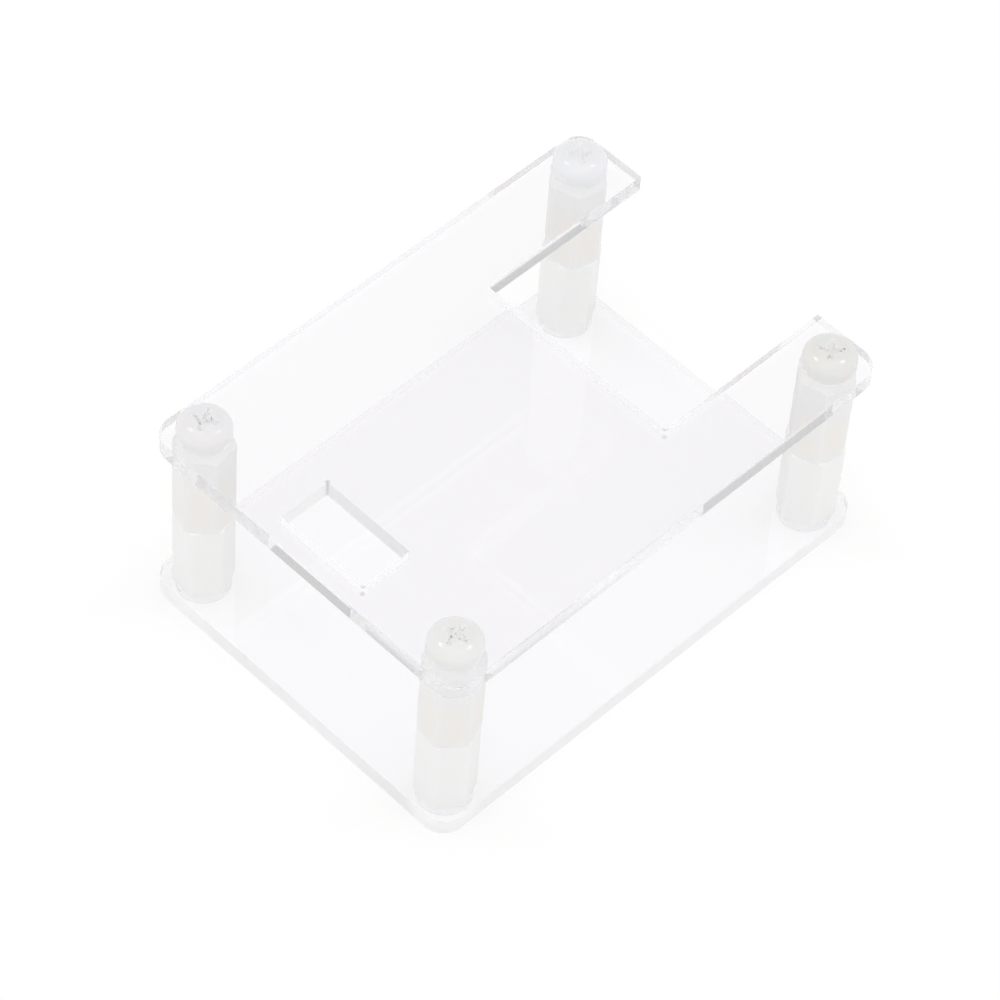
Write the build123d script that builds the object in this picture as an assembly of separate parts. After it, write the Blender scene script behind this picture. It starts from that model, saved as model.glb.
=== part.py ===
from build123d import *
import os
from math import radians, sqrt, tan

os.makedirs("parts", exist_ok=True)

# Plates
plate_length = 58.0
plate_width = 41.4
plate_thickness = 2.0
plate_corner_radius = 2.4
notch_depth = 21.4
notch_width = 24.1
slot_length_x = 6.0
slot_width_y = 11.1
slot_edge_distance = 2.4
slot_offset_y = -0.6

# Posts
post_inset_x = 3.75
post_inset_y = 3.7
hex_flats = 5.5
lower_post_height = 10.0
upper_post_height = 10.0
hex_bevel_angle = 30.0
hex_bevel_circle = 5.75

# Threaded joints
thread_diameter = 3.0
thread_play = 0.05
bore_mouth_chamfer = 0.25
shank_tip_chamfer = 0.4
stud_tip_gap = 0.95
stud_neck_diameter = 2.4
stud_neck_height = 0.5
upper_bore_depth = 7.0
bore_point_angle = 118.0
plate_hole_diameter = 3.2

# Pan head screws on the upper plate
pan_head_diameter = 5.5
pan_head_height = 2.3
pan_rim_height = 0.8
pan_seat_radius = 0.12
pan_screw_length = 6.0

# Flush screws under the lower plate
flush_head_diameter = 5.5
flush_head_angle = 90.0
flush_head_rim = 0.15
flush_head_sink = 0.05
flush_screw_length = 6.0
countersink_play = 0.05

# Cross recess of both kinds of screw
recess_span = 2.9
recess_wing_width = 0.62
recess_depth = 1.35
recess_floor_span = 1.1
recess_core_diameter = 1.5
recess_core_floor_diameter = 0.7
recess_overcut = 0.4
flush_recess_scale = 0.92

# Corner name, side along X, side along Y, turn of lower post, upper post, pan screw, flush screw
corners = [
    ("front_left", -1, -1, 23.8, 20.6, 12.0, 30.0),
    ("front_right", 1, -1, 54.9, 43.5, 38.0, 5.0),
    ("back_left", -1, 1, 23.7, 10.4, 27.0, 62.0),
    ("back_right", 1, 1, 25.6, 46.8, 50.0, 18.0),
]

# Heights that follow from the sizes above
lower_post_base = plate_thickness
upper_post_base = lower_post_base + lower_post_height
top_plate_base = upper_post_base + upper_post_height
top_plate_face = top_plate_base + plate_thickness
shank_diameter = thread_diameter - 2 * thread_play
post_spacing_x = plate_length - 2 * post_inset_x
post_spacing_y = plate_width - 2 * post_inset_y
flush_screw_reach = flush_head_sink + flush_screw_length - plate_thickness
stud_length = lower_post_height - flush_screw_reach - stud_tip_gap
case_height = top_plate_face + pan_head_height


def post_centre(side_x, side_y):
    return side_x * post_spacing_x / 2, side_y * post_spacing_y / 2


def plate_outline():
    return RectangleRounded(plate_length, plate_width, plate_corner_radius)


def plate_blank(base):
    return Pos(0, 0, base) * extrude(plate_outline(), plate_thickness)


def screw_holes(base):
    holes = []
    for _, side_x, side_y, *_ in corners:
        x, y = post_centre(side_x, side_y)
        hole = Cylinder(plate_hole_diameter / 2, 3 * plate_thickness)
        holes.append(Pos(x, y, base + plate_thickness / 2) * hole)
    return holes


def countersinks():
    reach = tan(radians(flush_head_angle / 2))
    mouth = flush_head_diameter / 2 + countersink_play + flush_head_rim * reach
    throat = plate_hole_diameter / 2
    depth = (mouth - throat) / reach
    sinks = []
    for _, side_x, side_y, *_ in corners:
        x, y = post_centre(side_x, side_y)
        sink = Cone(mouth, throat, depth, align=(Align.CENTER, Align.CENTER, Align.MIN))
        sinks.append(Pos(x, y, 0) * sink)
    return sinks


def bottom_plate():
    plate = plate_blank(0)
    for cutter in screw_holes(0) + countersinks():
        plate -= cutter
    return plate


def top_plate():
    plate = plate_blank(top_plate_base)
    middle = top_plate_base + plate_thickness / 2
    notch = Box(2 * notch_depth, notch_width, 3 * plate_thickness)
    plate -= Pos(plate_length / 2, 0, middle) * notch
    slot_x = -plate_length / 2 + slot_edge_distance + slot_length_x / 2
    slot = Box(slot_length_x, slot_width_y, 3 * plate_thickness)
    plate -= Pos(slot_x, slot_offset_y, middle) * slot
    for hole in screw_holes(top_plate_base):
        plate -= hole
    return plate


def bevelled_hex(height):
    prism = extrude(RegularPolygon(hex_flats / sqrt(3), 6), height)
    drop = tan(radians(hex_bevel_angle))
    reach = hex_flats / sqrt(3) + 0.5
    fall = (reach - hex_bevel_circle / 2) * drop
    profile = Polyline(
        (0, 0),
        (hex_bevel_circle / 2, 0),
        (reach, fall),
        (reach, height - fall),
        (hex_bevel_circle / 2, height),
        (0, height),
        close=True,
    )
    envelope = revolve(Plane.XZ * make_face(profile), Axis.Z, 360)
    return prism & envelope


def bore(top, depth, pointed):
    radius = thread_diameter / 2
    base = top - depth
    cut = Pos(0, 0, base) * Cylinder(radius, depth, align=(Align.CENTER, Align.CENTER, Align.MIN))
    mouth = Cone(radius, radius + bore_mouth_chamfer, bore_mouth_chamfer, align=(Align.CENTER, Align.CENTER, Align.MAX))
    cut += Pos(0, 0, top) * mouth
    if pointed:
        point = radius / tan(radians(bore_point_angle / 2))
        cut += Pos(0, 0, base) * Cone(0.001, radius, point, align=(Align.CENTER, Align.CENTER, Align.MAX))
    return cut


def lower_standoff():
    post = bevelled_hex(lower_post_height) - bore(lower_post_height, lower_post_height, False)
    radius = thread_diameter / 2
    mouth = Cone(radius + bore_mouth_chamfer, radius, bore_mouth_chamfer, align=(Align.CENTER, Align.CENTER, Align.MIN))
    return post - mouth


def stud():
    low = -stud_length
    profile = Polyline(
        (0, low),
        (shank_diameter / 2 - shank_tip_chamfer, low),
        (shank_diameter / 2, low + shank_tip_chamfer),
        (shank_diameter / 2, -stud_neck_height - (shank_diameter - stud_neck_diameter) / 2),
        (stud_neck_diameter / 2, -stud_neck_height),
        (stud_neck_diameter / 2, 0),
        (0, 0),
        close=True,
    )
    return revolve(Plane.XZ * make_face(profile), Axis.Z, 360)


def upper_standoff():
    post = bevelled_hex(upper_post_height) - bore(upper_post_height, upper_bore_depth, True)
    return post + stud()


def widened(floor_size, mouth_size):
    return floor_size + (mouth_size - floor_size) * (recess_depth + recess_overcut) / recess_depth


def recess_wing():
    floor_width = recess_wing_width * 0.8
    lower = Rectangle(recess_floor_span, floor_width)
    upper = Rectangle(widened(recess_floor_span, recess_span), widened(floor_width, recess_wing_width))
    return loft([Pos(0, 0, -recess_depth) * lower, Pos(0, 0, recess_overcut) * upper])


def cross_recess():
    core = Cone(
        recess_core_floor_diameter / 2,
        widened(recess_core_floor_diameter, recess_core_diameter) / 2,
        recess_depth + recess_overcut,
        align=(Align.CENTER, Align.CENTER, Align.MIN),
    )
    wing = recess_wing()
    return Pos(0, 0, -recess_depth) * core + wing + Rot(0, 0, 90) * wing


def pan_head():
    rim = pan_head_diameter / 2
    dome = pan_head_height - pan_rim_height
    with BuildSketch(Plane.XZ) as face:
        with BuildLine():
            Polyline((0, 0), (rim - pan_seat_radius, 0), (rim, pan_seat_radius), (rim, pan_rim_height))
            EllipticalCenterArc((0, pan_rim_height), rim, dome, 0, arc_size=90)
            Line((0, pan_head_height), (0, 0))
        make_face()
    return revolve(face.sketch, Axis.Z, 360)


def shank(length):
    blank = Cylinder(shank_diameter / 2, length, align=(Align.CENTER, Align.CENTER, Align.MAX))
    tip = blank.faces().sort_by(Axis.Z)[0].edges()
    return chamfer(tip, shank_tip_chamfer)


def pan_screw():
    head = pan_head() - Pos(0, 0, pan_head_height) * cross_recess()
    return head + shank(pan_screw_length)


def flush_screw():
    radius = flush_head_diameter / 2
    cone_depth = (radius - shank_diameter / 2) / tan(radians(flush_head_angle / 2))
    profile = Polyline(
        (0, 0),
        (radius, 0),
        (radius, flush_head_rim),
        (shank_diameter / 2, flush_head_rim + cone_depth),
        (shank_diameter / 2, flush_screw_length - shank_tip_chamfer),
        (shank_diameter / 2 - shank_tip_chamfer, flush_screw_length),
        (0, flush_screw_length),
        close=True,
    )
    body = revolve(Plane.XZ * make_face(profile), Axis.Z, 360)
    recess = Rot(180, 0, 0) * scale(cross_recess(), flush_recess_scale)
    return body - recess


def place(shape, side_x, side_y, base, turn):
    x, y = post_centre(side_x, side_y)
    return Pos(x, y, base) * Rot(0, 0, turn) * shape


def build():
    nodes = {"bottom_plate": bottom_plate(), "top_plate": top_plate()}
    low, high, pan, flush = lower_standoff(), upper_standoff(), pan_screw(), flush_screw()
    for name, side_x, side_y, low_turn, high_turn, pan_turn, flush_turn in corners:
        nodes["lower_standoff_" + name] = place(low, side_x, side_y, lower_post_base, low_turn)
        nodes["upper_standoff_" + name] = place(high, side_x, side_y, upper_post_base, high_turn)
        nodes["top_screw_" + name] = place(pan, side_x, side_y, top_plate_face, pan_turn)
        nodes["bottom_screw_" + name] = place(flush, side_x, side_y, flush_head_sink, flush_turn)
    return nodes


for node, shape in build().items():
    solids = shape.solids()
    if len(solids) != 1:
        raise ValueError(node + " is not one solid")
    export_step(solids[0], os.path.join("parts", node + ".step"))
    box = solids[0].bounding_box()
    print(node, round(solids[0].volume, 3), [round(v, 3) for v in (*box.min, *box.max)])
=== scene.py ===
"""Open case of a bare circuit board, dressed for rendering.

Two clear sheets stand apart on hexagonal nylon pillars. Pan head screws hold the
upper sheet, and flush screws hold the lower one from below. Every length is in
metres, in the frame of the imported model.
"""

from __future__ import annotations

import logging
import math
from dataclasses import dataclass, field
from enum import Enum
from typing import ClassVar, Sequence

import bpy
from mathutils import Matrix, Vector

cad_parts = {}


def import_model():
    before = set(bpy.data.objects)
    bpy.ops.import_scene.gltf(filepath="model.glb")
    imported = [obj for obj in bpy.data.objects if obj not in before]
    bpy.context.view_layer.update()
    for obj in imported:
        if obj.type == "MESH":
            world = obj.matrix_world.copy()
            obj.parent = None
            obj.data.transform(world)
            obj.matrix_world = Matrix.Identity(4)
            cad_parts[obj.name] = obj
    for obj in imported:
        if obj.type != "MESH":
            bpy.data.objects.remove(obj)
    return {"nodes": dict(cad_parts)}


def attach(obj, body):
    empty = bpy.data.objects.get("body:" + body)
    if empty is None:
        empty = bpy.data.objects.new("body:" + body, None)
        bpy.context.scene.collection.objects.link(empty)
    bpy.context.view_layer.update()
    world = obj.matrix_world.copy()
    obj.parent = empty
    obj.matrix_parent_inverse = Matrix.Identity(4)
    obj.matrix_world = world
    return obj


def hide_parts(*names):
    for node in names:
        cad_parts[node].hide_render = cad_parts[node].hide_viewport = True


LOG = logging.getLogger("board_case")
MM = 0.001
HAIR = 1e-6

Colour = tuple[float, float, float]
Point = tuple[float, float, float]
Spot = tuple[float, float]
Piece = bpy.types.Object
Material = bpy.types.Material
Socket = bpy.types.NodeSocket
Sockets = bpy.types.bpy_prop_collection


class Cut(Enum):
    """What a second solid does to the piece it is worked into."""

    AWAY = "DIFFERENCE"
    WITHIN = "INTERSECT"
    TOGETHER = "UNION"


class Slot(Enum):
    """The record's material slots."""

    SHEET = "clear_acrylic"
    LOWER = "nylon_lower"
    UPPER = "nylon_upper"
    SCREW = "nylon_screw"


class Skin(Enum):
    """The finishes of a sheet's faces, by their material slots."""

    FACE = 0
    EDGE = 1
    BORE = 2
    DULL = 3
    LONG_WALL = 4
    SHORT_WALL = 5


# --- modelling


class Bench:
    """The modelling moves that every piece is made with."""

    @staticmethod
    def clear() -> None:
        """Leave edit mode and deselect everything."""
        active = bpy.context.view_layer.objects.active
        if active is not None and active.mode != "OBJECT":
            bpy.ops.object.mode_set(mode="OBJECT")
        bpy.ops.object.select_all(action="DESELECT")

    @staticmethod
    def pick(piece: Piece) -> None:
        """Make one piece the only selected and the active one."""
        Bench.clear()
        piece.select_set(True)
        bpy.context.view_layer.objects.active = piece

    @staticmethod
    def edit(piece: Piece, kind: str = "VERT", action: str = "SELECT") -> None:
        """Open a piece in edit mode, with all or nothing of it selected."""
        Bench.pick(piece)
        bpy.ops.object.mode_set(mode="EDIT")
        bpy.ops.mesh.select_mode(type=kind)
        bpy.ops.mesh.select_all(action=action)

    @staticmethod
    def choose(piece: Piece, kind: str, chosen: Sequence[bool]) -> None:
        """Open a piece in edit mode with some of its edges or faces selected."""
        Bench.edit(piece, kind, "DESELECT")
        bpy.ops.object.mode_set(mode="OBJECT")
        parts = piece.data.edges if kind == "EDGE" else piece.data.polygons
        for part, choice in zip(parts, chosen):
            part.select = choice
        bpy.ops.object.mode_set(mode="EDIT")

    @staticmethod
    def apply(piece: Piece, kind: str, **settings: object) -> None:
        """Add a modifier of a kind with its settings, and apply it."""
        step = piece.modifiers.new(kind.lower(), kind)
        for key, value in settings.items():
            setattr(step, key, value)
        Bench.pick(piece)
        bpy.ops.object.modifier_apply(modifier=step.name)

    @staticmethod
    def named(name: str) -> Piece:
        """Name the primitive that was just added, and apply its place and size."""
        piece = bpy.context.object
        piece.name = piece.data.name = name
        bpy.ops.object.transform_apply(location=True, rotation=True, scale=True)
        return piece

    @staticmethod
    def coat(piece: Piece, *materials: Material) -> None:
        """Give a piece its materials in order, and close its mesh."""
        piece.data.materials.clear()
        for material in materials:
            piece.data.materials.append(material)
        Bench.close(piece)

    @staticmethod
    def close(piece: Piece) -> None:
        """Merge doubled points and turn all normals outwards."""
        Bench.edit(piece)
        bpy.ops.mesh.remove_doubles(threshold=HAIR)
        bpy.ops.mesh.dissolve_degenerate(threshold=HAIR)
        bpy.ops.mesh.normals_make_consistent(inside=False)
        bpy.ops.object.mode_set(mode="OBJECT")

    @staticmethod
    def smooth(piece: Piece, angle: float = 32.0) -> None:
        """Shade a piece smooth, with wide faces kept flat and sharper edges kept sharp.

        Args:
            piece: the piece.
            angle: edges sharper than this stay sharp, in degrees.
        """
        Bench.pick(piece)
        bpy.ops.object.shade_smooth_by_angle(angle=math.radians(angle))
        Bench.apply(
            piece, "WEIGHTED_NORMAL", mode="FACE_AREA", weight=100, keep_sharp=True
        )

    @staticmethod
    def outline(name: str, points: Sequence[Spot]) -> Piece:
        """Draw a half section from point to point.

        Args:
            name: name of the new object.
            points: radius and height of each point, in order.

        Returns:
            The object with the open run of edges.
        """
        Bench.clear()
        bpy.ops.mesh.primitive_plane_add(size=MM, location=(0, 0, 0))
        piece = Bench.named(name)
        Bench.edit(piece)
        bpy.ops.mesh.merge(type="CENTER")
        bpy.ops.transform.translate(value=(points[0][0], 0, points[0][1]))
        for (r0, z0), (r1, z1) in zip(points, points[1:]):
            bpy.ops.mesh.extrude_vertices_move(
                TRANSFORM_OT_translate={"value": (r1 - r0, 0, z1 - z0)}
            )
        bpy.ops.object.mode_set(mode="OBJECT")
        return piece

    @staticmethod
    def lathe(name: str, points: Sequence[Spot], steps: int) -> Piece:
        """Spin a half section round the upright axis into a closed solid.

        Args:
            name: name of the new object.
            points: radius and height of each point, from axis to axis.
            steps: number of steps in the turn.

        Returns:
            The closed solid, at the origin.
        """
        piece = Bench.outline(name, points)
        Bench.edit(piece)
        bpy.ops.mesh.spin(steps=steps, angle=math.tau, center=(0, 0, 0), axis=(0, 0, 1))
        Bench.close(piece)
        return piece

    @staticmethod
    def block(name: str, low: Point, high: Point) -> Piece:
        """Add a block between two corners."""
        Bench.clear()
        middle = tuple((a + b) / 2 for a, b in zip(low, high))
        sides = tuple(b - a for a, b in zip(low, high))
        bpy.ops.mesh.primitive_cube_add(size=1, location=middle, scale=sides)
        return Bench.named(name)

    @staticmethod
    def prism(name: str, sides: int, radius: float, low: float, high: float) -> Piece:
        """Add an upright prism, with its axis at the origin and a corner towards +X.

        Args:
            name: name of the new object.
            sides: number of sides.
            radius: from the axis to a corner.
            low: height of its underside.
            high: height of its top.

        Returns:
            The prism.
        """
        Bench.clear()
        bpy.ops.mesh.primitive_cylinder_add(
            vertices=sides,
            radius=radius,
            depth=high - low,
            location=(0, 0, (low + high) / 2),
            rotation=(0, 0, math.radians(-90)),
        )
        return Bench.named(name)

    @staticmethod
    def round_uprights(piece: Piece, width: float, segments: int) -> None:
        """Round the upright edges of a block or a prism."""
        points = [point.co.z for point in piece.data.vertices]
        ends = [[points[i] for i in edge.vertices] for edge in piece.data.edges]
        Bench.choose(piece, "EDGE", [abs(a - b) > HAIR for a, b in ends])
        bpy.ops.mesh.bevel(offset=width, segments=segments, affect="EDGES")
        bpy.ops.object.mode_set(mode="OBJECT")

    @staticmethod
    def work_in(piece: Piece, tool: Piece, cut: Cut, at: Spot = (0.0, 0.0)) -> None:
        """Work a second solid into a piece, and remove the second solid.

        Args:
            piece: the piece that stays.
            tool: the solid that is used up.
            cut: what it does to the piece.
            at: how far the second solid is moved first.
        """
        tool.data.transform(Matrix.Translation((*at, 0)))
        Bench.apply(piece, "BOOLEAN", operation=cut.value, solver="EXACT", object=tool)
        bpy.data.objects.remove(tool, do_unlink=True)

    @staticmethod
    def copy_to(piece: Piece, name: str, at: Spot, turn: float = 0.0) -> Piece:
        """Copy a piece with its own mesh to an upright axis, turned in degrees."""
        twin = piece.copy()
        twin.data = piece.data.copy()
        twin.name = twin.data.name = name
        bpy.context.collection.objects.link(twin)
        twin.data.transform(
            Matrix.Translation((*at, 0)) @ Matrix.Rotation(math.radians(turn), 4, "Z")
        )
        return twin

    @staticmethod
    def threaded_rod(
        name: str, crest: float, depth: float, pitch: float, low: float, high: float
    ) -> Piece:
        """Wind a thread into a closed rod with flat ends.

        Args:
            name: name of the new object.
            crest: radius at the crest of the thread.
            depth: depth of the thread.
            pitch: rise in one turn.
            low: height of the lower end.
            high: height of the upper end.

        Returns:
            The rod, with its axis at the origin. All rods of one pitch are in step.
        """
        start = math.floor(low / pitch) * pitch - 2 * pitch
        root = crest - depth
        rise = ((root, 0.0), (root, 0.06), (crest, 0.44))
        fall = ((crest, 0.56), (root, 0.94), (root, 1.0))
        rod = Bench.outline(name, [(r, start + share * pitch) for r, share in rise + fall])
        Bench.apply(
            rod,
            "SCREW",
            axis="Z",
            angle=math.tau,
            screw_offset=pitch,
            iterations=math.ceil((high - start) / pitch) + 2,
            steps=24,
            render_steps=24,
            use_merge_vertices=True,
            merge_threshold=HAIR,
        )
        for height, below in ((low, True), (high, False)):
            Bench.edit(rod)
            bpy.ops.mesh.bisect(
                plane_co=(0, 0, height),
                plane_no=(0, 0, 1),
                use_fill=True,
                clear_inner=below,
                clear_outer=not below,
                threshold=HAIR / 10,
            )
        Bench.close(rod)
        return rod


# --- node graphs


class Graph:
    """A node tree, and the moves that effects, finishes and the room are wired with.

    A value is a socket to link from, a number, a vector or a colour.
    """

    def __init__(self, tree: bpy.types.NodeTree) -> None:
        """Keep the tree."""
        self.tree = tree

    def add(self, kind: str, **settings: object) -> bpy.types.Node:
        """Add a shader node and set its plain fields."""
        node = self.tree.nodes.new(f"ShaderNode{kind}")
        for key, value in settings.items():
            setattr(node, key, value)
        return node

    def feed(self, socket: Socket, value: object) -> None:
        """Give a socket its value."""
        if isinstance(value, Socket):
            self.tree.links.new(value, socket)
        else:
            socket.default_value = (*value, 1.0) if socket.type == "RGBA" else value

    def math(self, operation: str, *values: object) -> Socket:
        """Work out a number and return its socket."""
        node = self.add("Math", operation=operation)
        for socket, value in zip(node.inputs, values):
            self.feed(socket, value)
        return node.outputs[0]

    def vector(self, operation: str, *values: object) -> Sockets:
        """Work with vectors and return the outputs, Vector and Value."""
        node = self.add("VectorMath", operation=operation)
        for socket, value in zip(node.inputs, values):
            self.feed(socket, value)
        return node.outputs

    def spread(
        self,
        value: Socket,
        low: float,
        high: float,
        since: object = 0.0,
        until: object = 1.0,
        smooth: bool = False,
    ) -> Socket:
        """Spread a value between two others.

        Args:
            value: socket of the value.
            low: what it becomes at since and below.
            high: what it becomes at until and above.
            since: the start of its range.
            until: the end of its range.
            smooth: True for an eased change.

        Returns:
            The socket of the result.
        """
        kind = "SMOOTHSTEP" if smooth else "LINEAR"
        node = self.add("MapRange", interpolation_type=kind)
        for socket, given in zip(node.inputs, (value, since, until, low, high)):
            self.feed(socket, given)
        return node.outputs["Result"]

    def noise(
        self, at: Socket, scale: object, detail: float, roughness: float = 0.5
    ) -> Socket:
        """Add a noise, 0 to 1, and return its socket."""
        node = self.add("TexNoise")
        for title, value in (
            ("Vector", at), ("Scale", scale), ("Detail", detail), ("Roughness", roughness)
        ):
            self.feed(node.inputs[title], value)
        return node.outputs["Fac"]

    def here(self) -> Socket:
        """The point on the piece."""
        return self.add("TexCoord").outputs["Object"]

    def stretched(self, scale: Point, turn: float = 0.0) -> Socket:
        """The point on the piece, stretched and then turned round the upright axis."""
        lay = self.add("Mapping")
        self.feed(lay.inputs["Vector"], self.here())
        self.feed(lay.inputs["Rotation"], (0, 0, turn))
        self.feed(lay.inputs["Scale"], scale)
        return lay.outputs["Vector"]

    def parts(self, vector: Socket) -> Sockets:
        """Split a vector and return its X, Y and Z."""
        split = self.add("SeparateXYZ")
        self.feed(split.inputs["Vector"], vector)
        return split.outputs

    def mixed(self, factor: Socket, first: object, second: object) -> Socket:
        """Mix two colours and return the result's socket."""
        node = self.add("Mix", data_type="RGBA")
        self.feed(node.inputs["Factor"], factor)
        self.feed(node.inputs[6], first)
        self.feed(node.inputs[7], second)
        return node.outputs[2]


class Effect:
    """A node group that more than one finish uses, built at its first use."""

    name: ClassVar[str]
    inputs: ClassVar[tuple[str, ...]]
    outputs: ClassVar[tuple[str, ...]]

    def tree(self) -> bpy.types.NodeTree:
        """Find the group, or build it."""
        found = bpy.data.node_groups.get(self.name)
        if found is not None:
            return found
        tree = bpy.data.node_groups.new(self.name, "ShaderNodeTree")
        for titles, way in ((self.inputs, "INPUT"), (self.outputs, "OUTPUT")):
            for title in titles:
                tree.interface.new_socket(
                    name=title, in_out=way, socket_type="NodeSocketFloat"
                )
        given = tree.nodes.new("NodeGroupInput").outputs
        leave = tree.nodes.new("NodeGroupOutput").inputs
        for title, result in self.wire(Graph(tree), given).items():
            tree.links.new(result, leave[title])
        return tree

    def wire(self, graph: Graph, given: Sockets) -> dict[str, Socket]:
        """Wire the effect, and return what it puts out by name."""
        raise NotImplementedError


class FineScratches(Effect):
    """Thin straight rub marks in two directions. Marks is 0 to 1."""

    name = "fine_scratches"
    inputs = ("Scale", "Cover")
    outputs = ("Marks",)

    def wire(self, graph: Graph, given: Sockets) -> dict[str, Socket]:
        """Draw two noises out into lines and keep their peaks."""
        low = graph.math("SUBTRACT", 0.76, graph.math("MULTIPLY", given["Cover"], 0.16))
        marks = []
        for turn, squeeze in ((0.5, 60.0), (-0.9, 85.0)):
            at = graph.stretched((squeeze, 2200.0 / squeeze * 55, 400.0), turn)
            grain = graph.noise(at, given["Scale"], 3.0)
            marks.append(graph.spread(grain, 0.0, 1.0, low, 0.78))
        return {"Marks": graph.math("MAXIMUM", *marks)}


class MouldedGrain(Effect):
    """The fine skin of moulded nylon, with slow uneven patches. Both are 0 to 1."""

    name = "moulded_grain"
    inputs = ("Scale",)
    outputs = ("Grain", "Patches")

    def wire(self, graph: Graph, given: Sockets) -> dict[str, Socket]:
        """Lay a fine noise and a slow one."""
        at = graph.here()
        return {
            title: graph.noise(at, graph.math("MULTIPLY", given["Scale"], scale), detail)
            for title, scale, detail in (("Grain", 5200.0, 4.0), ("Patches", 420.0, 2.0))
        }


class BeamLines(Effect):
    """The upright ripple that a cutting beam leaves on a sheet's edge, 0 to 1."""

    name = "beam_lines"
    inputs = ("Scale",)
    outputs = ("Ripple",)

    def wire(self, graph: Graph, given: Sockets) -> dict[str, Socket]:
        """Draw a noise out upwards."""
        fine = graph.math("MULTIPLY", given["Scale"], 3600.0)
        return {"Ripple": graph.noise(graph.stretched((1.0, 1.0, 0.045)), fine, 2.0)}


class TurnMarks(Effect):
    """The small burnt marks where the cutting beam turned an inner corner.

    Reach is in metres, and Mark is 0 to 1. Heights count for a twentieth, so that
    a mark runs through its own sheet and stays off the other one.
    """

    name = "turn_marks"
    inputs = ("Reach",)
    outputs = ("Mark",)
    squeeze = 0.05

    def wire(self, graph: Graph, given: Sockets) -> dict[str, Socket]:
        """Fade out from the nearest corner."""
        at = graph.stretched((1.0, 1.0, self.squeeze))
        nearest = None
        for x, y, z in ClearSheets().inner_corners():
            away = graph.vector("DISTANCE", at, (x, y, self.squeeze * z))["Value"]
            nearest = away if nearest is None else graph.math("MINIMUM", nearest, away)
        return {"Mark": graph.spread(nearest, 1.0, 0.0, 0.0, given["Reach"], True)}


# --- finishes


class Bare(Graph):
    """A new material with a Principled shader, ready to be given a finish."""

    def __init__(self, name: str) -> None:
        """Make the material and keep its shader."""
        self.material = bpy.data.materials.new(name)
        self.material.use_nodes = True
        super().__init__(self.material.node_tree)
        self.shader = self.tree.nodes["Principled BSDF"]

    def give(self, values: dict[str, object]) -> None:
        """Set the shader's inputs by name."""
        for title, value in values.items():
            self.feed(self.shader.inputs[title], value)

    def effect(self, kind: type[Effect], **values: float) -> Sockets:
        """Add a shared effect with its own input values, and return its outputs."""
        node = self.add("Group", node_tree=kind().tree())
        for title, value in values.items():
            node.inputs[title].default_value = value
        return node.outputs

    def bump(self, height: Socket, strength: float, depth: float) -> None:
        """Raise the surface by a 0 to 1 value, to a depth in metres."""
        node = self.add("Bump")
        for title, value in (
            ("Strength", strength), ("Distance", depth), ("Height", height)
        ):
            self.feed(node.inputs[title], value)
        self.give({"Normal": node.outputs["Normal"]})

    def surface(self, kind: str, parts: Sequence[object]) -> None:
        """Join shaders with a node of a kind, and make the result the surface."""
        join = self.add(kind)
        for socket, part in zip(join.inputs, parts):
            self.feed(socket, part)
        output = next(n for n in self.tree.nodes if n.type == "OUTPUT_MATERIAL")
        self.feed(output.inputs["Surface"], join.outputs["Shader"])

    def let_lamps_through(self, tint: Colour) -> None:
        """Let shadow rays and soft light pass straight through, a little tinted."""
        path = self.add("LightPath").outputs
        passing = self.math("MAXIMUM", path["Is Shadow Ray"], path["Is Diffuse Ray"])
        clear = self.add("BsdfTransparent")
        self.feed(clear.inputs["Color"], tint)
        self.surface(
            "MixShader", (passing, self.shader.outputs["BSDF"], clear.outputs["BSDF"])
        )


@dataclass(frozen=True)
class SheetFinish:
    """Cast clear sheet with its polished faces and a few rub marks."""

    name: str = "clear_sheet_face"
    tint: Colour = (0.993, 0.987, 0.999)
    ior: float = 1.49
    shade: Colour = (0.998, 0.997, 0.999)
    burn: Colour = (0.42, 0.40, 0.44)

    def make(self) -> Material:
        """Build the material."""
        bare = Bare(self.name)
        burnt = bare.effect(TurnMarks, Reach=0.4 * MM)["Mark"]
        marks = bare.effect(FineScratches, Scale=1.0, Cover=0.25)["Marks"]
        bare.give(
            {
                "Base Color": bare.mixed(burnt, self.tint, self.burn),
                "Transmission Weight": 1.0,
                "IOR": self.ior,
                "Roughness": bare.spread(marks, 0.0, 0.09),
            }
        )
        bare.bump(marks, 0.08, 0.002 * MM)
        bare.let_lamps_through(self.shade)
        return bare.material


@dataclass(frozen=True)
class CutEdgeFinish:
    """The edge of a sheet as the cutting beam leaves it: rippled and a little greyer."""

    name: str = "clear_sheet_cut_edge"
    tint: Colour = (0.985, 0.983, 0.992)
    ior: float = 1.49
    clearness: float = 1.0
    roughness: float = 0.14
    relief: float = 0.02
    burn: Colour = (0.74, 0.73, 0.76)
    shade: Colour = (0.985, 0.983, 0.99)

    def make(self) -> Material:
        """Build the material."""
        bare = Bare(self.name)
        burnt = bare.effect(TurnMarks, Reach=0.35 * MM)["Mark"]
        ripple = bare.effect(BeamLines, Scale=1.0)["Ripple"]
        low, high = self.roughness * 0.8, self.roughness * 1.2
        bare.give(
            {
                "Base Color": bare.mixed(burnt, self.tint, self.burn),
                "Transmission Weight": self.clearness,
                "IOR": self.ior,
                "Roughness": bare.spread(ripple, low, high),
            }
        )
        bare.bump(ripple, self.relief, 0.01 * MM)
        bare.let_lamps_through(self.shade)
        return bare.material


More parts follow.
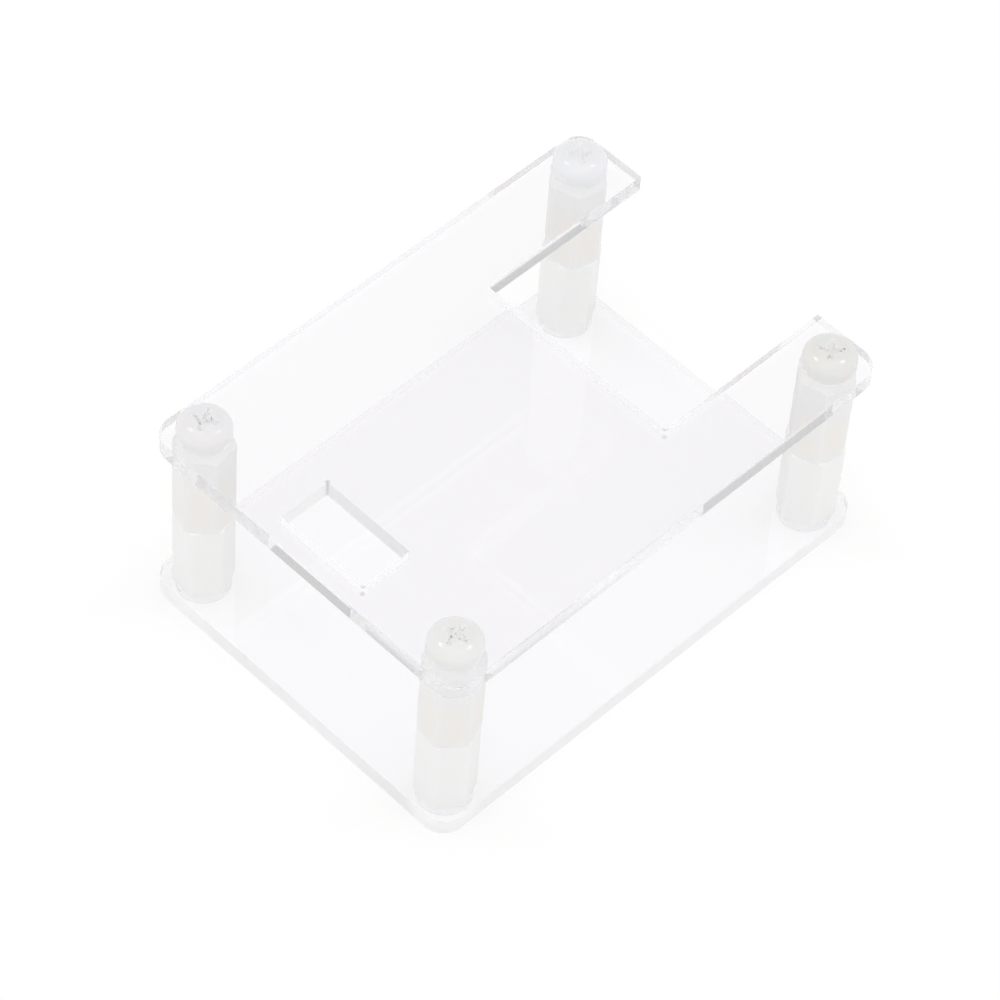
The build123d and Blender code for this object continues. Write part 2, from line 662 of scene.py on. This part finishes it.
@dataclass(frozen=True)
class BoredWallFinish:
    """The wall of a bored and countersunk hole: frosted by the tool."""

    name: str = "clear_sheet_bored_wall"
    colour: Colour = (0.91, 0.908, 0.918)
    clearness: float = 0.2
    ior: float = 1.49
    roughness: float = 0.6
    relief: float = 0.15
    shade: Colour = (0.985, 0.983, 0.99)

    def make(self) -> Material:
        """Build the material."""
        bare = Bare(self.name)
        turning = bare.effect(MouldedGrain, Scale=0.6)
        pale = tuple(min(1.0, 1.06 * c) for c in self.colour)
        low, high = self.roughness * 0.7, self.roughness * 1.2
        bare.give(
            {
                "Base Color": bare.mixed(turning["Patches"], self.colour, pale),
                "Transmission Weight": self.clearness,
                "IOR": self.ior,
                "Roughness": bare.spread(turning["Grain"], low, high),
            }
        )
        bare.bump(turning["Grain"], self.relief, 0.01 * MM)
        bare.let_lamps_through(self.shade)
        return bare.material


@dataclass(frozen=True)
class NylonFinish:
    """Milky moulded nylon with slow patches of a second colour, warmer where thick.

    Between the heights thick_low and thick_high the solid core shows through as the
    warmer tone. Left at 0, they warm only what lies at the floor. With a core radius,
    the tone keeps to the middle of each flat.
    """

    name: str
    colour: Colour
    patch_colour: Colour
    thick_colour: Colour = (0.86, 0.845, 0.80)
    thick_low: float = 0.0
    thick_high: float = 0.0
    core: float = 0.0
    roughness: float = 0.5
    grain: float = 0.12
    softness: float = 0.3
    scatter: float = 1.2 * MM
    through: Colour = (0.96, 0.96, 0.955)
    shine: float = 0.35
    rubs: float = 0.5
    speck_share: float = 0.0
    speck_colour: Colour = (0.28, 0.25, 0.22)

    def make(self) -> Material:
        """Build the material."""
        bare = Bare(self.name)
        skin = bare.effect(MouldedGrain, Scale=1.0)
        marks = bare.effect(FineScratches, Scale=1.4, Cover=self.rubs)["Marks"]
        colour = self._warmth(bare, skin["Patches"])
        if self.speck_share > 0:
            colour = self._specked(bare, colour)
        rough = bare.spread(skin["Grain"], self.roughness * 0.8, self.roughness * 1.25)
        bare.give(
            {
                "Base Color": colour,
                "Roughness": bare.math("MULTIPLY_ADD", marks, 0.18, rough),
                "Subsurface Weight": self.softness,
                "Subsurface Radius": (1.0, 0.88, 0.72),
                "Subsurface Scale": self.scatter,
                "IOR": 1.53,
                "Specular IOR Level": self.shine,
            }
        )
        relief = bare.math("MULTIPLY_ADD", marks, -0.5, skin["Grain"])
        bare.bump(relief, self.grain, 0.02 * MM)
        bare.let_lamps_through(self.through)
        return bare.material

    def _warmth(self, bare: Bare, patches: Socket) -> Socket:
        """Mix in the patches, and the warmer tone between its two heights."""
        z = bare.parts(bare.here())["Z"]
        low, high = self.thick_low, self.thick_high
        rise = bare.spread(z, 0.0, 1.0, low - 0.4 * MM, low + 0.6 * MM, True)
        fall = bare.spread(z, 1.0, 0.0, high - 1.8 * MM, high + 1.8 * MM, True)
        tone = bare.math("MULTIPLY", rise, fall)
        if self.core > 0:
            tone = bare.math("MULTIPLY", tone, self._near_core(bare))
        tone = bare.math("MULTIPLY", tone, bare.spread(patches, 0.55, 1.25))
        patched = bare.spread(patches, -0.8, 1.8)
        plain = bare.mixed(patched, self.colour, self.patch_colour)
        return bare.mixed(tone, plain, self.thick_colour)

    def _near_core(self, bare: Bare) -> Socket:
        """Find how near a point is to its pillar's core, from 0.4 to 1."""
        mirrored = bare.vector("ABSOLUTE", bare.stretched((1.0, 1.0, 0.0)))["Vector"]
        axis = (*SheetSizes().axes()[-1], 0.0)
        away = bare.vector("DISTANCE", mirrored, axis)["Value"]
        return bare.spread(away, 1.0, 0.4, self.core, self.core * 1.13, True)

    def _specked(self, bare: Bare, colour: Socket) -> Socket:
        """Add dark specks, set by a fine noise."""
        grains = bare.noise(bare.here(), 2000.0, 4.0, 0.6)
        start = 0.64 - 0.16 * self.speck_share
        speck_mask = bare.spread(grains, 0.0, 1.0, start, start + 0.1)
        return bare.mixed(speck_mask, colour, self.speck_colour)


# --- the sheets


@dataclass
class SheetSizes:
    """Sizes that both clear sheets share."""

    length: float = 58.0 * MM
    width: float = 41.4 * MM
    thickness: float = 2.0 * MM
    corner: float = 2.4 * MM
    hole: float = 3.2 * MM
    inset_x: float = 3.75 * MM
    inset_y: float = 3.7 * MM
    rim: float = 0.05 * MM

    def axes(self) -> list[Spot]:
        """The four pillar axes."""
        x, y = self.length / 2 - self.inset_x, self.width / 2 - self.inset_y
        return [(-x, -y), (x, -y), (-x, y), (x, y)]


@dataclass
class ClearSheets:
    """The two laser-cut sheets.

    The lower sheet's sides and the slot's walls are duller where they face -X or -Y.
    """

    sizes: SheetSizes = field(default_factory=SheetSizes)
    upper_at: float = 22.0 * MM
    notch_depth: float = 21.4 * MM
    notch_width: float = 24.1 * MM
    slot_length: float = 6.0 * MM
    slot_width: float = 11.1 * MM
    slot_from_edge: float = 2.4 * MM
    slot_shift: float = -0.6 * MM
    sink_diameter: float = 5.6 * MM
    sink_rim: float = 0.2 * MM

    def finishes(self) -> dict[Skin, SheetFinish | CutEdgeFinish | BoredWallFinish]:
        """The finishes of the faces, in the order of their slots."""
        finishes = {
            Skin.FACE: SheetFinish(),
            Skin.EDGE: CutEdgeFinish(),
            Skin.BORE: BoredWallFinish(),
        }
        for skin, name, clearness, roughness in (
            (Skin.DULL, "clear_sheet_dull_edge", 0.4, 0.36),
            (Skin.LONG_WALL, "clear_sheet_slot_wall", 0.6, 0.5),
            (Skin.SHORT_WALL, "clear_sheet_slot_end", 0.1, 0.5),
        ):
            finishes[skin] = CutEdgeFinish(name, clearness=clearness, roughness=roughness)
        return finishes

    def inner_corners(self) -> list[Point]:
        """The corners where the cutting beam turned and left a small mark."""
        end = self.sizes.length / 2
        near, half = self.slot_from_edge - end, self.slot_width / 2
        middle = self.upper_at + self.sizes.thickness / 2
        return [
            (near, self.slot_shift - half, middle),
            (near + self.slot_length, self.slot_shift + half, middle),
            (end - self.notch_depth, -self.notch_width / 2, middle),
        ]

    def blank(self, name: str, low: float) -> Piece:
        """Cut a plain sheet with round corners and its four screw holes.

        Args:
            name: name of the piece.
            low: height of its underside.

        Returns:
            The sheet.
        """
        s = self.sizes
        x, y = s.length / 2, s.width / 2
        sheet = Bench.block(name, (-x, -y, low), (x, y, low + s.thickness))
        Bench.round_uprights(sheet, s.corner, 14)
        for at in s.axes():
            hole = Bench.prism("hole", 56, s.hole / 2, low - MM, low + s.thickness + MM)
            Bench.work_in(sheet, hole, Cut.AWAY, at)
        return sheet

    def lower(self) -> Piece:
        """Build the lower sheet, with its holes opened for flush heads from below."""
        s = self.sizes
        sheet = self.blank("lower_sheet", 0.0)
        radius, over = self.sink_diameter / 2, 0.05 * MM
        inner = self.sink_rim + radius - s.hole / 2 + over
        section = [(0.0, -MM), (radius, -MM), (radius, self.sink_rim)]
        section += [(s.hole / 2 - over, inner), (0.0, inner)]
        for at in s.axes():
            Bench.work_in(sheet, Bench.lathe("sink", section, 56), Cut.AWAY, at)
        return self._dress(sheet, "bottom_plate")

    def upper(self) -> Piece:
        """Build the upper sheet with its open notch and its slot."""
        s = self.sizes
        low, high = self.upper_at - MM, self.upper_at + s.thickness + MM
        sheet = self.blank("upper_sheet", self.upper_at)
        end, half = s.length / 2, self.slot_width / 2
        near, shift = self.slot_from_edge - end, self.slot_shift
        wide = self.notch_width / 2
        for name, x0, y0, x1, y1 in (
            ("notch", end - self.notch_depth, -wide, end + MM, wide),
            ("slot", near, shift - half, near + self.slot_length, shift + half),
        ):
            Bench.work_in(
                sheet, Bench.block(name, (x0, y0, low), (x1, y1, high)), Cut.AWAY
            )
        return self._dress(sheet, "top_plate")

    def _skin_of(self, face: bpy.types.MeshPolygon, upper: bool) -> Skin:
        """Choose the finish of one face of the upper or the lower sheet."""
        middle, normal = face.center, face.normal
        if abs(normal.z) > 0.985:
            return Skin.FACE
        holes = (math.hypot(middle.x - x, middle.y - y) for x, y in self.sizes.axes())
        if min(holes) < self.sink_diameter / 2 + 0.1 * MM:
            return Skin.BORE
        if min(normal.x, normal.y) > -0.3:
            return Skin.EDGE
        if not upper:
            return Skin.DULL
        near = self.slot_from_edge - self.sizes.length / 2
        beside = near - 0.1 * MM < middle.x < near + self.slot_length + 0.1 * MM
        across = abs(middle.y - self.slot_shift) < self.slot_width / 2 + 0.1 * MM
        if not (beside and across):
            return Skin.EDGE
        return Skin.LONG_WALL if normal.x < -0.3 else Skin.SHORT_WALL

    def _dress(self, sheet: Piece, node: str) -> Piece:
        """Finish a sheet: fine rims, smooth shading, faces and cut edges."""
        made = [
            bpy.data.materials.get(finish.name) or finish.make()
            for finish in self.finishes().values()
        ]
        Bench.coat(sheet, *made)
        Bench.apply(
            sheet,
            "BEVEL",
            width=self.sizes.rim,
            segments=2,
            limit_method="ANGLE",
            angle_limit=math.radians(40),
            use_clamp_overlap=True,
            material=Skin.EDGE.value,
            miter_outer="MITER_ARC",
        )
        Bench.close(sheet)
        for face in sheet.data.polygons:
            face.material_index = self._skin_of(face, node == "top_plate").value
        Bench.smooth(sheet)
        place(sheet, node)
        return sheet


# --- the nylon parts


@dataclass
class ThreadSizes:
    """The thread that all nylon parts share."""

    diameter: float = 3.0 * MM
    play: float = 0.1 * MM
    pitch: float = 0.5 * MM
    depth: float = 0.26 * MM
    mouth: float = 0.25 * MM
    tip: float = 0.4 * MM

    def outer(self, name: str, low: float, high: float, tip_up: bool = False) -> Piece:
        """Wind a screw thread with a tapered tip.

        Args:
            name: name of the new object.
            low: height of the lower end.
            high: height of the upper end.
            tip_up: True if the tip is the upper end.

        Returns:
            The screw thread, with its axis at the origin.
        """
        crest = (self.diameter - self.play) / 2
        rod = Bench.threaded_rod(name, crest, self.depth, self.pitch, low, high)
        over, wide, narrow = 0.1 * MM, crest + 0.02 * MM, crest - self.tip
        tip = [(narrow, -over), (narrow, 0.0), (wide, self.tip)]
        if tip_up:
            rim = [(wide, low - over)] + [(r, high - z) for r, z in reversed(tip)]
        else:
            rim = [(r, low + z) for r, z in tip] + [(wide, high + over)]
        section = [(0.0, low - over), *rim, (0.0, high + over)]
        Bench.work_in(rod, Bench.lathe("guard", section, 48), Cut.WITHIN)
        return rod

    def inner(self, name: str, low: float, high: float) -> Piece:
        """Wind the tool that cuts a threaded bore between two heights."""
        crest = self.diameter / 2
        return Bench.threaded_rod(name, crest, self.depth, self.pitch, low, high)

    def mouth_cone(self, name: str, rim: float, upwards: bool) -> Piece:
        """Make the cone that opens the mouth of a bore at a height."""
        sign = -1.0 if upwards else 1.0
        radius, over = self.diameter / 2, 0.043 * MM
        outer, inner = rim - sign * over, rim + sign * (self.mouth + over)
        wide = radius + self.mouth + over
        section = [(0.0, outer), (wide, outer), (radius - over, inner), (0.0, inner)]
        return Bench.lathe(name, section, 48)


@dataclass
class Corner:
    """One corner of the case: its name, its axis and how its parts are turned."""

    name: str
    at: Spot
    lower_turn: float
    upper_turn: float
    pan_turn: float
    flush_turn: float


@dataclass
class HexPillars:
    """The lower and upper hexagonal pillars at the four corners."""

    corners: list[Corner]
    flats: float = 5.5 * MM
    face_circle: float = 5.95 * MM
    corner_angle: float = 30.0
    edge_round: float = 0.25 * MM
    lower_low: float = 2.0 * MM
    joint: float = 12.0 * MM
    upper_high: float = 22.0 * MM
    stud_length: float = 5.0 * MM
    neck_diameter: float = 2.4 * MM
    neck_height: float = 0.5 * MM
    bore_depth: float = 7.0 * MM
    point_angle: float = 118.0
    thread: ThreadSizes = field(default_factory=ThreadSizes)

    def blank(self, name: str, low: float, high: float) -> Piece:
        """Shape a hexagonal bar with turned-off corners at both ends.

        Args:
            name: name of the bar.
            low: height of its lower face.
            high: height of its upper face.

        Returns:
            The bar, on the axis at the origin, with its first corner towards +X.
        """
        radius = self.flats / 2 / math.cos(math.pi / 6)
        bar = Bench.prism(name, 6, radius, low, high)
        Bench.round_uprights(bar, self.edge_round, 4)
        rim = self.face_circle / 2
        reach = radius + 0.3 * MM
        drop = (reach - rim) * math.tan(math.radians(self.corner_angle))
        end = [(0.0, 0.0), (rim - 0.06 * MM, 0.0)]
        end += [(rim + 0.03 * MM, 0.03 * MM), (reach, drop)]
        section = [(r, low + z) for r, z in end] + [(r, high - z) for r, z in end[::-1]]
        Bench.work_in(bar, Bench.lathe("collar", section, 96), Cut.WITHIN)
        return bar

    def lower(self, blank: Piece, corner: Corner) -> Piece:
        """Make one lower pillar, threaded right through."""
        name, over = f"lower_pillar_{corner.name}", 0.3 * MM
        bar = Bench.copy_to(blank, name, corner.at, corner.lower_turn)
        for tool in (
            self.thread.inner("tap", self.lower_low - over, self.joint + over),
            self.thread.mouth_cone("mouth_low", self.lower_low, False),
            self.thread.mouth_cone("mouth_high", self.joint, True),
        ):
            Bench.work_in(bar, tool, Cut.AWAY, corner.at)
        return bar

    def upper(self, blank: Piece, corner: Corner) -> Piece:
        """Make one upper pillar, with its blind bore above and its stud below."""
        name, joint = f"upper_pillar_{corner.name}", self.joint
        bar = Bench.copy_to(blank, name, corner.at, corner.upper_turn)
        floor = self.upper_high - self.bore_depth
        root = self.thread.diameter / 2 - self.thread.depth - 0.02 * MM
        point = root / math.tan(math.radians(self.point_angle / 2))
        over = floor + 0.4 * MM
        drill = [(0.0, floor - point), (root, floor), (root, over), (0.0, over)]
        for tool in (
            self.thread.inner("tap", floor, self.upper_high + 0.3 * MM),
            Bench.lathe("drill", drill, 48),
            self.thread.mouth_cone("mouth", self.upper_high, True),
        ):
            Bench.work_in(bar, tool, Cut.AWAY, corner.at)
        neck_low = joint - self.neck_height
        stud = self.thread.outer("stud", joint - self.stud_length, neck_low)
        neck = Bench.prism(
            "neck", 40, self.neck_diameter / 2, neck_low - 0.2 * MM, joint + 0.3 * MM
        )
        Bench.work_in(stud, neck, Cut.TOGETHER)
        Bench.work_in(bar, stud, Cut.TOGETHER, corner.at)
        return bar

    def build(self) -> None:
        """Build and dress all eight pillars."""
        low_blank = self.blank("lower_blank", self.lower_low, self.joint)
        high_blank = self.blank("upper_blank", self.joint, self.upper_high)
        low_finish = NylonFinish(
            "nylon_lower_pillar",
            colour=(0.91, 0.91, 0.913),
            patch_colour=(0.902, 0.908, 0.90),
        ).make()
        high_finish = NylonFinish(
            "nylon_upper_pillar",
            colour=(0.875, 0.875, 0.875),
            patch_colour=(0.867, 0.875, 0.862),
            thick_colour=(0.884, 0.862, 0.833),
            thick_low=12.6 * MM,
            thick_high=18.0 * MM,
            core=self.flats / 2,
        ).make()
        for corner in self.corners:
            low, high = self.lower(low_blank, corner), self.upper(high_blank, corner)
            for piece, finish, slot, node in (
                (low, low_finish, Slot.LOWER, "lower_standoff"),
                (high, high_finish, Slot.UPPER, "upper_standoff"),
            ):
                Bench.coat(piece, finish)
                Bench.smooth(piece, 25.0)
                place(piece, f"{node}_{corner.name}")
        for blank in (low_blank, high_blank):
            bpy.data.objects.remove(blank, do_unlink=True)


@dataclass
class CrossRecess:
    """The tapered cross that the driver fits."""

    span: float = 2.9 * MM
    wing: float = 0.62 * MM
    depth: float = 1.35 * MM
    floor_span: float = 1.1 * MM
    core: float = 1.5 * MM
    core_floor: float = 0.7 * MM
    over: float = 0.4 * MM
    scale: float = 1.0

    def tools(self, top: float, downwards: bool) -> list[Piece]:
        """Make the three solids that cut the recess.

        Args:
            top: height of the head's outer face.
            downwards: True if the head faces up, so that the recess goes down.

        Returns:
            Two wings and a core.
        """
        sign = -1.0 if downwards else 1.0
        k, rise = self.scale, self.over / self.depth
        mouth_half = k * (self.span + (self.span - self.floor_span) * rise) / 2
        core_half = k * (self.core + (self.core - self.core_floor) * rise) / 2
        outer, inner = top - sign * k * self.over, top + sign * k * self.depth
        low, high = sorted((outer, inner))
        solids = []
        for along, name in enumerate(("wing_x", "wing_y")):
            half = [k * self.wing / 2] * 2
            half[along] = mouth_half
            wing = Bench.block(name, (-half[0], -half[1], low), (*half, high))
            ends = [abs(face.center.z - inner) < HAIR for face in wing.data.polygons]
            Bench.choose(wing, "FACE", ends)
            squeeze = [0.82, 0.82, 1.0]
            squeeze[along] = k * self.floor_span / 2 / mouth_half
            bpy.ops.transform.resize(value=tuple(squeeze))
            bpy.ops.object.mode_set(mode="OBJECT")
            solids.append(wing)
        section = [(0.0, outer), (core_half, outer)]
        section += [(k * self.core_floor / 2, inner), (0.0, inner + sign * 0.12 * MM)]
        return [*solids, Bench.lathe("core", section, 32)]


@dataclass(frozen=True)
class HeadLook:
    """How one screw looks: its colours, the dark specks in its recess, and the painted
    light that makes the recess paler.
    """

    colour: Colour
    patch_colour: Colour
    speck_share: float
    speck_colour: Colour

    def clean(self, corner: str) -> Material:
        """Make the smooth finish of the screw."""
        return NylonFinish(
            f"nylon_head_{corner}",
            self.colour,
            self.patch_colour,
            roughness=0.12,
            grain=0.006,
            shine=0.5,
            rubs=0.2,
        ).make()

    def painted_light_recess(self, corner: str) -> Material:
        """Make the finish of its recess: paler, as painted light against the shade in the
        recess, with dark specks.
        """
        return NylonFinish(
            f"nylon_recess_{corner}",
            # Painted light: the recess colours are raised 1.06 times to lift the shade
            # that falls in it.
            tuple(1.06 * c for c in self.colour),
            tuple(1.06 * c for c in self.patch_colour),
            grain=0.1,
            speck_share=self.speck_share,
            speck_colour=self.speck_colour,
        ).make()


@dataclass
class Screws:
    """The pan head screws above and the flush screws below."""

    corners: list[Corner]
    seat: float = 24.0 * MM
    head: float = 5.5 * MM
    height: float = 2.269 * MM
    rim: float = 0.8 * MM
    fullness: float = 2.5
    seat_round: float = 0.12 * MM
    length: float = 6.0 * MM
    flush_head: float = 5.5 * MM
    flush_rim: float = 0.15 * MM
    flush_sink: float = 0.05 * MM
    flush_length: float = 6.0 * MM
    thread: ThreadSizes = field(default_factory=ThreadSizes)

    LOOKS: ClassVar[dict[str, HeadLook]] = {
        "front_left": HeadLook(
            (0.83, 0.83, 0.833), (0.815, 0.825, 0.805), 0.5, (0.47, 0.43, 0.41)
        ),
        "front_right": HeadLook(
            (0.805, 0.78, 0.765), (0.78, 0.79, 0.77), 0.55, (0.47, 0.37, 0.32)
        ),
        "back_left": HeadLook(
            (0.82, 0.82, 0.845), (0.828, 0.812, 0.81), 0.5, (0.45, 0.42, 0.42)
        ),
        "back_right": HeadLook(
            (0.84, 0.84, 0.87), (0.83, 0.835, 0.85), 0.05, (0.65, 0.65, 0.68)
        ),
    }

    def dome_height(self, radius: float) -> float:
        """Height of the pan head's outer face at a radius."""
        share, full = min(1.0, radius / (self.head / 2)), self.fullness
        rise = (self.height - self.rim) * (1 - share**full) ** (1 / full)
        return self.seat + self.rim + rise

    def pan_blank(self) -> Piece:
        """Turn a pan head with a full, near elliptical dome, and sink its recess."""
        r, z, turn = self.head / 2, self.seat, self.seat_round
        section = [(0.0, z), (r - turn, z)]
        section += [
            (r - turn * (1 - math.sin(a)), z + turn * (1 - math.cos(a)))
            for a in (math.radians(30), math.radians(60), math.radians(90))
        ]
        section.append((r, z + self.rim))
        for step in range(1, 15):
            across = r * math.cos(math.radians(90 * step / 15))
            section.append((across, self.dome_height(across)))
        section.append((0.0, self.dome_height(0.0)))
        head = Bench.lathe("pan_blank", section, 72)
        for tool in CrossRecess().tools(z + self.height, True):
            Bench.work_in(head, tool, Cut.AWAY)
        return head

    def flush_blank(self) -> Piece:
        """Turn a flush head with a right-angled cone, and sink its recess."""
        r, low = self.flush_head / 2, self.flush_sink
        shank = (self.thread.diameter - self.thread.play) / 2 - self.thread.depth
        inner = low + self.flush_rim + r - shank
        section = [(0.0, low), (r - 0.05 * MM, low), (r, low + 0.04 * MM)]
        section += [(r, low + self.flush_rim), (shank, inner), (0.0, inner)]
        head = Bench.lathe("flush_blank", section, 72)
        for tool in CrossRecess(scale=0.92).tools(low, False):
            Bench.work_in(head, tool, Cut.AWAY)
        return head

    def pan(self, blank: Piece, corner: Corner) -> Piece:
        """Make one pan head screw."""
        name = f"pan_screw_{corner.name}"
        piece = Bench.copy_to(blank, name, corner.at, corner.pan_turn)
        low, high = self.seat - self.length, self.seat + 0.2 * MM
        shank = self.thread.outer("shank", low, high)
        Bench.work_in(piece, shank, Cut.TOGETHER, corner.at)
        return piece

    def flush(self, blank: Piece, corner: Corner) -> Piece:
        """Make one flush screw, with its thread pointing up."""
        name = f"flush_screw_{corner.name}"
        piece = Bench.copy_to(blank, name, corner.at, corner.flush_turn)
        high = self.flush_sink + self.flush_length
        shank = self.thread.outer("shank", 1.2 * MM, high, tip_up=True)
        Bench.work_in(piece, shank, Cut.TOGETHER, corner.at)
        return piece

    def build(self) -> None:
        """Build and dress all eight screws."""
        pan, flush = self.pan_blank(), self.flush_blank()
        for corner in self.corners:
            look = self.LOOKS[corner.name]
            clean, painted_light_recess = look.clean(corner.name), look.painted_light_recess(corner.name)
            piece = self.pan(pan, corner)
            # The second finish, on the recess faces, is paler as painted light.
            Bench.coat(piece, clean, painted_light_recess)
            for face in piece.data.polygons:
                face.material_index = int(self._in_recess(face.center, corner))
            Bench.smooth(piece, 28.0)
            place(piece, f"top_screw_{corner.name}")
            piece = self.flush(flush, corner)
            Bench.coat(piece, clean)
            Bench.smooth(piece, 28.0)
            place(piece, f"bottom_screw_{corner.name}")
        for blank in (pan, flush):
            bpy.data.objects.remove(blank, do_unlink=True)

    def _in_recess(self, middle: Vector, corner: Corner) -> bool:
        """Tell whether a face of a pan screw, by its middle, is in the recess."""
        radius = math.hypot(middle.x - corner.at[0], middle.y - corner.at[1])
        deep = self.dome_height(radius) - middle.z > 0.06 * MM
        return deep and radius < 1.6 * MM and middle.z > self.seat + 0.3 * MM


def place(piece: Piece, node: str) -> None:
    """Say which node a piece stands for and what it rides on.

    Args:
        piece: the finished piece.
        node: the CAD node that it replaces.
    """
    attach(piece, "root")
    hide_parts(node)
    LOG.info("%s: %d faces, for %s", piece.name, len(piece.data.polygons), node)


# --- the studio


@dataclass
class Studio:
    """Floor, light and camera."""

    eye: Point = (-0.214084, -0.187796, 0.372088)
    turn: Point = (37.927, -3.0405, -44.6348)
    lens: float = 169.3
    floor_size: float = 6.0
    floor_colour: Colour = (0.90, 0.90, 0.90)
    floor_lift: float = 0.115
    horizon: float = 1.0
    sky: float = 0.88
    ceiling: float = 0.55
    ceiling_towards: Point = (0.465, 0.404, 0.788)
    bounces: int = 48

    def camera(self) -> None:
        """Place the camera at the photograph's angle."""
        data = bpy.data.cameras.new("camera")
        data.lens = self.lens
        data.sensor_width = 36.0
        data.clip_start = 0.01
        data.clip_end = 20.0
        camera = bpy.data.objects.new("camera", data)
        bpy.context.collection.objects.link(camera)
        camera.location = self.eye
        camera.rotation_euler = [math.radians(a) for a in self.turn]
        bpy.context.scene.camera = camera

    def floor(self) -> None:
        """Lay the pale floor just under the lower sheet."""
        Bench.clear()
        at = (0, 0, -0.02 * MM)
        bpy.ops.mesh.primitive_plane_add(size=self.floor_size, location=at)
        floor = Bench.named("floor")
        bare = Bare("pale_floor")
        bare.give(
            {"Base Color": self.floor_colour, "Roughness": 0.9, "Specular IOR Level": 0.0}
        )
        path = bare.add("LightPath").outputs
        seen = path["Is Camera Ray"]
        for title in ("Is Glossy Ray", "Is Transmission Ray"):
            seen = bare.math("MAXIMUM", seen, path[title])
        glow = bare.add("Emission")
        bare.feed(glow.inputs["Strength"], bare.math("MULTIPLY", seen, self.floor_lift))
        bare.surface("AddShader", (bare.shader.outputs["BSDF"], glow.outputs["Emission"]))
        floor.data.materials.append(bare.material)

    def room(self) -> None:
        """Light a white wall all round, a greyer sky and one darker stretch of it."""
        world = bpy.data.worlds.new("room")
        bpy.context.scene.world = world
        world.use_nodes = True
        graph = Graph(world.node_tree)
        around = graph.add("TexCoord").outputs["Generated"]
        up = graph.parts(around)["Z"]
        sky = graph.spread(up, self.horizon, self.sky, 0.3, 0.75, True)
        towards = graph.vector("DOT_PRODUCT", around, self.ceiling_towards)["Value"]
        grey = graph.spread(towards, 1.0, self.ceiling / self.sky, 0.72, 0.95, True)
        back = world.node_tree.nodes["Background"]
        graph.feed(back.inputs["Color"], graph.math("MULTIPLY", sky, grey))

    def lamps(self) -> None:
        """A wide soft lamp overhead and two weaker ones, left and right."""
        for name, azimuth, elevation, energy, width in (
            ("lamp_top", 311.0, 86.0, 0.29, 58.0),
            ("lamp_left", 200.0, 60.0, 0.13, 12.0),
            ("lamp_right", 62.0, 60.0, 0.13, 12.0),
        ):
            data = bpy.data.lights.new(name, "SUN")
            data.energy = energy
            data.angle = math.radians(width)
            lamp = bpy.data.objects.new(name, data)
            bpy.context.collection.objects.link(lamp)
            a, e = math.radians(azimuth), math.radians(elevation)
            towards = Vector(
                (math.sin(a) * math.cos(e), -math.cos(a) * math.cos(e), math.sin(e))
            )
            lamp.rotation_mode = "QUATERNION"
            lamp.rotation_quaternion = towards.to_track_quat("Z", "Y")

    def build(self) -> None:
        """Set up the whole studio."""
        self.camera()
        self.floor()
        self.room()
        self.lamps()
        scene = bpy.context.scene
        scene.view_settings.view_transform = "Standard"
        scene.cycles.max_bounces = self.bounces
        scene.cycles.transmission_bounces = self.bounces
        scene.cycles.glossy_bounces = self.bounces
        scene.cycles.transparent_max_bounces = self.bounces
        LOG.info("studio: camera, floor, room and lamps")


@dataclass
class BoardCase:
    """The whole case."""

    sheets: ClearSheets = field(default_factory=ClearSheets)

    def corners(self) -> list[Corner]:
        """The four corners with the turns of their parts, in degrees."""
        turns = {
            "front_left": (23.8, 20.6, 12.0, 30.0),
            "front_right": (54.9, 43.5, 38.0, 5.0),
            "back_left": (23.7, 10.4, 27.0, 62.0),
            "back_right": (25.6, 46.8, 50.0, 18.0),
        }
        return [
            Corner(name, at, *turn)
            for (name, turn), at in zip(turns.items(), self.sheets.sizes.axes())
        ]

    def build(self) -> None:
        """Build every piece."""
        self.sheets.lower()
        self.sheets.upper()
        corners = self.corners()
        HexPillars(corners).build()
        Screws(corners).build()


def main() -> None:
    """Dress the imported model."""
    logging.basicConfig(level=logging.INFO, format="%(name)s: %(message)s")
    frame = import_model()
    LOG.info("frame: %d nodes", len(frame["nodes"]))
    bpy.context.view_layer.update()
    Studio().build()
    BoardCase().build()


if __name__ == "__main__":
    main()
